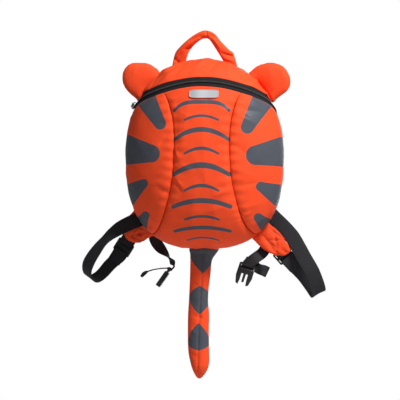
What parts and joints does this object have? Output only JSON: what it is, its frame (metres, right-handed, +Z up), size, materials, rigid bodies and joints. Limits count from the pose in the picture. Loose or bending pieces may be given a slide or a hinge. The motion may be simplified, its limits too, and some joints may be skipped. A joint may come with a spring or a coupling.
{
  "type": "toddler harness backpack",
  "caption": "Small domed fabric backpack with stuffed ears, a hanging tail, a top zip, a grab handle, shoulder webbing loops and a side-release chest strap.",
  "frame": {"origin": "underside of the grab handle's peak, where the bag hangs", "axes": "+Z up, -Y toward the striped front, +X to the viewer's right"},
  "size_m": [0.3245, 0.1311, 0.4633],
  "materials": {
    "shell_fabric": "woven orange polyester with printed dark grey stripes",
    "zip_tape": "dark grey woven zip tape",
    "zip_coil": "dark grey nylon coil",
    "zip_metal": "plated metal",
    "badge": "silver grey moulded rubber, bare",
    "back_fabric": "dark padded fabric",
    "webbing": "black woven webbing",
    "buckle_plastic": "black moulded plastic"
  },
  "bodies": {
    "root": {"centre_panel": "shell_fabric", "side_panel_left": "shell_fabric", "side_panel_right": "shell_fabric", "top_gusset": "shell_fabric", "zip_tape_lower": "zip_tape", "zip_tape_upper": "zip_tape", "zip_coil": "zip_coil", "zip_slider": "zip_metal", "zip_pull": "zip_metal", "badge": "badge", "back_panel": "back_fabric", "ear_left": "shell_fabric", "ear_right": "shell_fabric", "tail": "shell_fabric", "grab_handle": "shell_fabric", "wing_left": "shell_fabric", "wing_right": "shell_fabric", "shoulder_pad_left": "back_fabric", "shoulder_pad_right": "back_fabric", "ladder_lock_left": "buckle_plastic", "ladder_lock_right": "buckle_plastic", "buckle_tab_left": "webbing", "buckle_tab_right": "webbing", "shoulder_webbing_left": "webbing", "shoulder_webbing_right": "webbing", "buckle_socket": "buckle_plastic", "buckle_plug": "buckle_plastic", "chest_strap_left": "webbing", "chest_strap_right": "webbing"}
  },
  "joints": []
}
